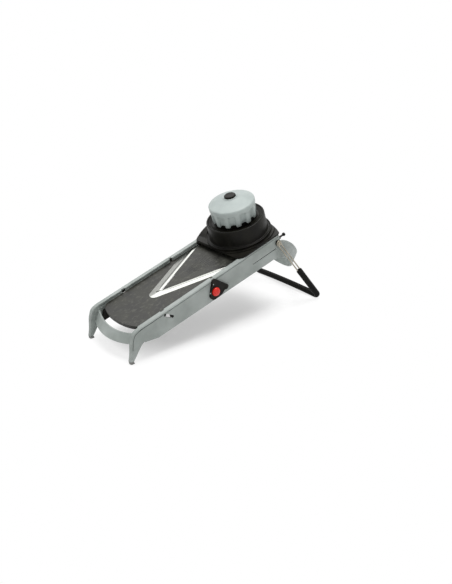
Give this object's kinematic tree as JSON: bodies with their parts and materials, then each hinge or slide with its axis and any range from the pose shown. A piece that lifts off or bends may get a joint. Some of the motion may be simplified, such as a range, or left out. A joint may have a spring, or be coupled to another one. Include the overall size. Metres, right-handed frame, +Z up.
{
  "type": "mandoline slicer",
  "caption": "Sloping mandoline slicer with a V blade, a lever-set ramp, a sliding carriage with a round knobbed food pusher, and a folding wire stand.",
  "frame": {"origin": "on the table, midway along the overall length, on the plane midway between the rails", "axes": "+X from the front feet towards the folding stand, +Y away from the lever side, +Z up"},
  "size_m": [0.4144, 0.1774, 0.215],
  "materials": {
    "grey_plastic": "satin grey-green plastic",
    "pale_plastic": "satin pale grey plastic",
    "charcoal_plastic": "fine-grained charcoal plastic",
    "black_plastic": "satin black plastic",
    "red_plastic": "glossy red plastic",
    "black_rubber": "soft black sleeve",
    "grey_rubber": "grey anti-slip sole",
    "blade_steel": "ground and polished",
    "bright_steel": "drawn and plated wire and pins"
  },
  "bodies": {
    "base": {"frame": "grey_plastic", "foot_sole_far": "grey_rubber", "foot_sole_near": "grey_rubber", "landing_plate": "charcoal_plastic", "v_blade": "blade_steel", "plate_cheek_far": "black_plastic", "plate_cheek_near": "black_plastic", "slot_clip_far": "black_plastic", "slot_clip_near": "black_plastic", "ramp_rod": "bright_steel", "pivot_screw_far": "bright_steel", "pivot_screw_near": "bright_steel", "pivot_bush_far": "black_rubber", "pivot_bush_near": "black_rubber"},
    "stand": {"stand_sleeve": "black_rubber", "stand_wire_far": "bright_steel", "stand_wire_near": "bright_steel"},
    "ramp": {"ramp_plate": "charcoal_plastic", "ramp_tail_pin_far": "black_plastic", "ramp_tail_pin_near": "black_plastic"},
    "adjuster": {"thickness_shaft": "bright_steel", "cam_far": "black_plastic", "cam_near": "black_plastic", "thickness_lever": "black_plastic", "lock_spring": "bright_steel"},
    "lock_key": {"lock_button": "red_plastic"},
    "carriage": {"carriage_plate": "black_plastic", "hopper": "black_plastic"},
    "pusher": {"pusher_sleeve": "black_plastic"},
    "turret": {"pusher_knob": "pale_plastic", "plunger": "black_plastic", "pin_plate": "bright_steel", "centre_spring": "bright_steel"},
    "centre_key": {"centre_button": "black_plastic"}
  },
  "joints": [
    {"name": "stand_fold", "type": "hinge", "parent": "base", "child": "stand", "pos_m": [0.11408, 0, 0.12765], "axis": [0, 1, 0], "range_deg": [0, 94]},
    {"name": "thickness_turn", "type": "hinge", "parent": "base", "child": "adjuster", "pos_m": [-0.01599, 0, 0.08328], "axis": [0, 1, 0], "range_deg": [0, 40]},
    {"name": "lock_press", "type": "slide", "parent": "adjuster", "child": "lock_key", "axis": [0, 1, 0], "range_m": [0, 0.0018], "stiffness_N_per_m": 400, "deforming": ["lock_spring"]},
    {"name": "ramp_tilt", "type": "hinge", "parent": "base", "child": "ramp", "pos_m": [0.1129, 0, 0.12743], "axis": [0, -1, 0], "range_deg": [0, 2.2]},
    {"name": "carriage_slide", "type": "slide", "parent": "base", "child": "carriage", "axis": [-0.9636, 0, -0.2672], "range_m": [0, 0.19]},
    {"name": "pusher_lift", "type": "slide", "parent": "carriage", "child": "pusher", "axis": [-0.2672, 0, 0.9636], "range_m": [0, 0.05]},
    {"name": "pusher_turn", "type": "hinge", "parent": "pusher", "child": "turret", "pos_m": [0.08208, 0, 0.13227], "axis": [-0.2672, 0, 0.9636], "continuous": true},
    {"name": "centre_press", "type": "slide", "parent": "turret", "child": "centre_key", "axis": [0.2672, 0, -0.9636], "range_m": [0, 0.0025], "stiffness_N_per_m": 500, "deforming": ["centre_spring"]}
  ],
  "couplings": [
    {"joint": "ramp_tilt", "follows": "thickness_turn", "ratio": 0.0535}
  ]
}
